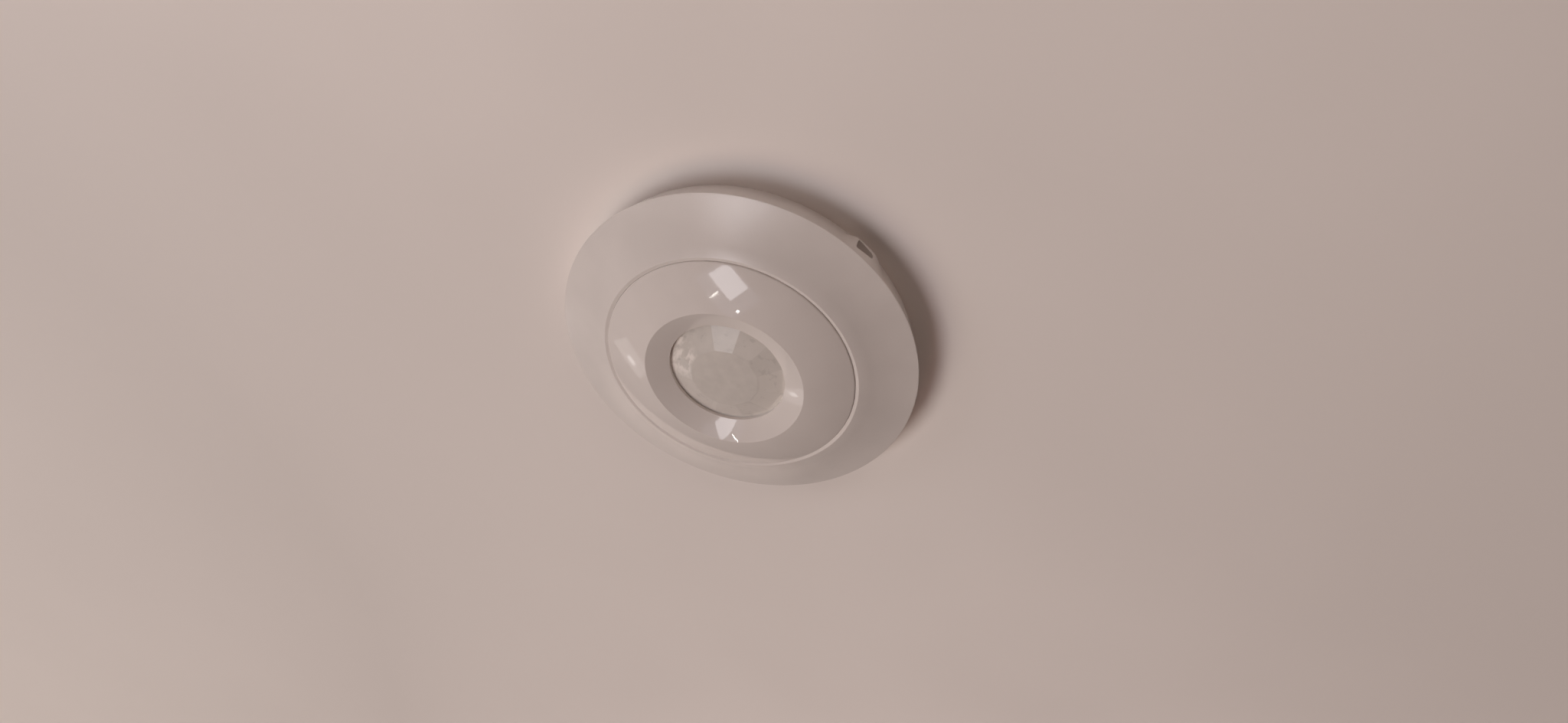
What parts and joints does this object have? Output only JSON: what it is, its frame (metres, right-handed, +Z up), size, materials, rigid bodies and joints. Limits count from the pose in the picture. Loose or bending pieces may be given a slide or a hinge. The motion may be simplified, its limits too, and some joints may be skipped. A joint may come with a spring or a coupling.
{
  "type": "ceiling motion detector",
  "caption": "Round ceiling motion detector: matt flared trim ring, glossy shallow dome and a faceted lens in a bevelled well, on a mounting tray with its circuit board.",
  "frame": {"origin": "centre of the flat face that meets the ceiling", "axes": "+Z up into the ceiling, so the lens looks down along -Z; X runs through the two fixing slots; the levering slot in the side wall is towards -Y and +X"},
  "size_m": [0.1198, 0.1198, 0.0249],
  "materials": {
    "ring_plastic": "fine matt moulded off-white",
    "housing_plastic": "polished moulded off-white",
    "lens_plastic": "milky translucent polyethylene, grooved inside facets",
    "base_plastic": "plain moulded off-white",
    "grommet_rubber": "soft matt",
    "board_laminate": "green solder mask over glass laminate",
    "screw_steel": "zinc plated",
    "can_metal": "nickel plated",
    "filter_window": "dark coated silicon",
    "sensing_ceramic": "fired ceramic",
    "spacer_plastic": "plain moulded",
    "tinned_leads": "tinned",
    "terminal_plastic": "moulded green",
    "clamp_brass": "plated brass",
    "relay_plastic": "moulded white",
    "switch_plastic": "moulded black",
    "button_plastic": "moulded red",
    "spring_steel": "spring wire",
    "trimmer_plastic": "moulded blue",
    "rotor_plastic": "moulded white",
    "pin_metal": "gold flash",
    "jumper_plastic": "moulded black",
    "capacitor_aluminium": "drawn can",
    "chip_plastic": "moulded epoxy",
    "led_plastic": "clear diffuse resin"
  },
  "bodies": {
    "base": {"mounting_base": "base_plastic", "cable_grommet": "grommet_rubber", "circuit_board": "board_laminate", "board_screws": "screw_steel", "sensor_spacer": "spacer_plastic", "sensor_can": "can_metal", "sensor_window": "filter_window", "sensor_element": "sensing_ceramic", "sensor_leads": "tinned_leads", "sensor_shroud": "base_plastic", "terminal_block": "terminal_plastic", "terminal_clamps": "clamp_brass", "terminal_screws": "screw_steel", "relay_case": "relay_plastic", "relay_pins": "tinned_leads", "tamper_switch": "switch_plastic", "tamper_spring": "spring_steel", "trimmer_body": "trimmer_plastic", "jumper_headers": "switch_plastic", "jumper_pins": "pin_metal", "capacitor_cans": "capacitor_aluminium", "capacitor_bases": "switch_plastic", "microcontroller": "chip_plastic", "microcontroller_leads": "tinned_leads", "walk_test_led": "led_plastic", "voltage_regulator": "chip_plastic", "chip_resistors": "chip_plastic", "chip_capacitors": "sensing_ceramic"},
    "cover": {"trim_ring": "ring_plastic", "dome_housing": "housing_plastic", "fresnel_lens": "lens_plastic", "lens_retainer": "housing_plastic", "retainer_screws": "screw_steel", "housing_screws": "screw_steel"},
    "tamper_plunger": {"tamper_plunger": "button_plastic"},
    "trimmer_rotor": {"trimmer_rotor": "rotor_plastic"},
    "jumper_cap_led": {"jumper_cap_led": "jumper_plastic"},
    "jumper_cap_pulse": {"jumper_cap_pulse": "jumper_plastic"}
  },
  "joints": [
    {"name": "cover_pull", "type": "slide", "parent": "base", "child": "cover", "axis": [0, 0, -1], "range_m": [0, 0.04]},
    {"name": "tamper_travel", "type": "slide", "parent": "base", "child": "tamper_plunger", "axis": [0, 0, -1], "range_m": [0, 0.0024], "deforming": ["tamper_spring"]},
    {"name": "range_trimmer_turn", "type": "hinge", "parent": "base", "child": "trimmer_rotor", "pos_m": [0.015, -0.022, -0.0103], "axis": [0, 0, -1], "range_deg": [-130, 130]},
    {"name": "jumper_led_pull", "type": "slide", "parent": "base", "child": "jumper_cap_led", "axis": [0, 0, -1], "range_m": [0, 0.0048]},
    {"name": "jumper_pulse_pull", "type": "slide", "parent": "base", "child": "jumper_cap_pulse", "axis": [0, 0, -1], "range_m": [0, 0.0048]}
  ],
  "couplings": [
    {"joint": "tamper_travel", "follows": "cover_pull", "ratio": 0.06}
  ]
}
